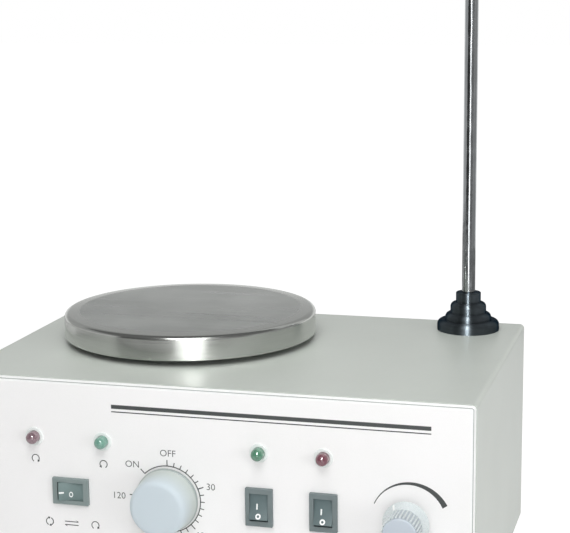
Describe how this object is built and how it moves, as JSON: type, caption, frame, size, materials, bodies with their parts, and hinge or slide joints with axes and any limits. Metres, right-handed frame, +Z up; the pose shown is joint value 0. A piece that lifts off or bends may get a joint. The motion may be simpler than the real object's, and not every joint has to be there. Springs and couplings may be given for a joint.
{
  "type": "hotplate stirrer",
  "caption": "Laboratory hotplate stirrer: enamelled sheet housing, round heated plate, upright support rod, timer and speed knobs, rocker switches and lamps, with a magnet drive inside.",
  "frame": {"origin": "on the bench, below the middle of the overall width and depth", "axes": "+X to the right seen from the front, +Y from the front panel to the rear, +Z up"},
  "size_m": [0.29, 0.217, 0.464],
  "materials": {
    "enamel": "semi-gloss grey-green enamel",
    "panel_paint": "white enamel",
    "overlay_film": "white printed film",
    "zinc_steel": "zinc-plated",
    "stainless": "fine brushed",
    "bright_chrome": "polished",
    "black_gloss": "glossy",
    "black_rubber": "matt",
    "bare_aluminium": "as cast",
    "mica": "matt",
    "white_ceramic": "matt",
    "motor_paint": "semi-gloss",
    "lamination": "dull",
    "copper_wire": "varnished copper",
    "bronze": "sintered",
    "brass": "plain",
    "milky_plastic": "frosted, translucent",
    "switch_plastic": "fine grain",
    "lens_green": "translucent green",
    "lens_red": "translucent red",
    "clear_plastic": "pale",
    "board": "solder mask",
    "black_plastic": "fine grain"
  },
  "bodies": {
    "chassis": {"housing_cover": "enamel", "front_panel": "panel_paint", "panel_overlay": "overlay_film", "rear_panel": "enamel", "base_plate": "zinc_steel", "rubber_feet": "black_rubber", "foot_screws": "zinc_steel", "base_screws": "zinc_steel", "hotplate": "stainless", "heat_spreader": "bare_aluminium", "heating_element": "mica", "insulation_disc": "white_ceramic", "clamp_plate": "zinc_steel", "plate_studs": "zinc_steel", "plate_spacers": "white_ceramic", "plate_nuts": "zinc_steel", "support_rod": "bright_chrome", "rod_base": "black_gloss", "rod_collar": "black_gloss", "rod_nut": "zinc_steel", "motor_bracket": "zinc_steel", "motor_case": "motor_paint", "motor_screws": "zinc_steel", "motor_stator": "lamination", "motor_windings": "copper_wire", "motor_bearings": "bronze", "timer_case": "black_plastic", "speed_control": "zinc_steel", "bush_nuts": "zinc_steel", "direction_switch": "switch_plastic", "stir_switch": "switch_plastic", "heat_switch": "switch_plastic", "switch_terminals": "brass", "lamp_bezels": "clear_plastic", "forward_lamp": "lens_red", "reverse_lamp": "lens_green", "stir_lamp": "lens_green", "heat_lamp": "lens_red", "circuit_board": "board", "board_posts": "white_ceramic", "transformer": "lamination", "board_parts": "black_plastic", "power_inlet": "black_plastic", "inlet_pins": "brass", "inlet_screws": "zinc_steel", "fuse_holder": "black_plastic", "fuse_nut": "black_plastic", "fuse_cap": "black_plastic"},
    "timer": {"timer_shaft": "bright_chrome", "timer_knob": "milky_plastic"},
    "speed": {"speed_shaft": "bright_chrome", "speed_knob": "milky_plastic"},
    "direction_rocker": {"direction_rocker": "switch_plastic"},
    "stir_rocker": {"stir_rocker": "switch_plastic"},
    "heat_rocker": {"heat_rocker": "switch_plastic"},
    "stir_drive": {"motor_rotor": "lamination", "motor_shaft": "bright_chrome", "magnet_carrier": "bare_aluminium", "drive_magnets": "lamination"}
  },
  "joints": [
    {"name": "timer_turn", "type": "hinge", "parent": "chassis", "child": "timer", "pos_m": [-0.0214, -0.08685, 0.0711], "axis": [0, 1, 0], "range_deg": [-44, 272]},
    {"name": "speed_turn", "type": "hinge", "parent": "chassis", "child": "speed", "pos_m": [0.1098, -0.08685, 0.0699], "axis": [0, 1, 0], "range_deg": [-103, 167]},
    {"name": "direction_rock", "type": "hinge", "parent": "chassis", "child": "direction_rocker", "pos_m": [-0.0774, -0.08585, 0.0711], "axis": [0, 0, 1], "range_deg": [-22, 0]},
    {"name": "stir_rock", "type": "hinge", "parent": "chassis", "child": "stir_rocker", "pos_m": [0.0301, -0.08585, 0.0711], "axis": [1, 0, 0], "range_deg": [0, 22]},
    {"name": "heat_rock", "type": "hinge", "parent": "chassis", "child": "heat_rocker", "pos_m": [0.0652, -0.08585, 0.0711], "axis": [1, 0, 0], "range_deg": [0, 22]},
    {"name": "stir_spin", "type": "hinge", "parent": "chassis", "child": "stir_drive", "pos_m": [-0.045, 0.02425, 0.1], "axis": [0, 0, 1], "continuous": true}
  ]
}
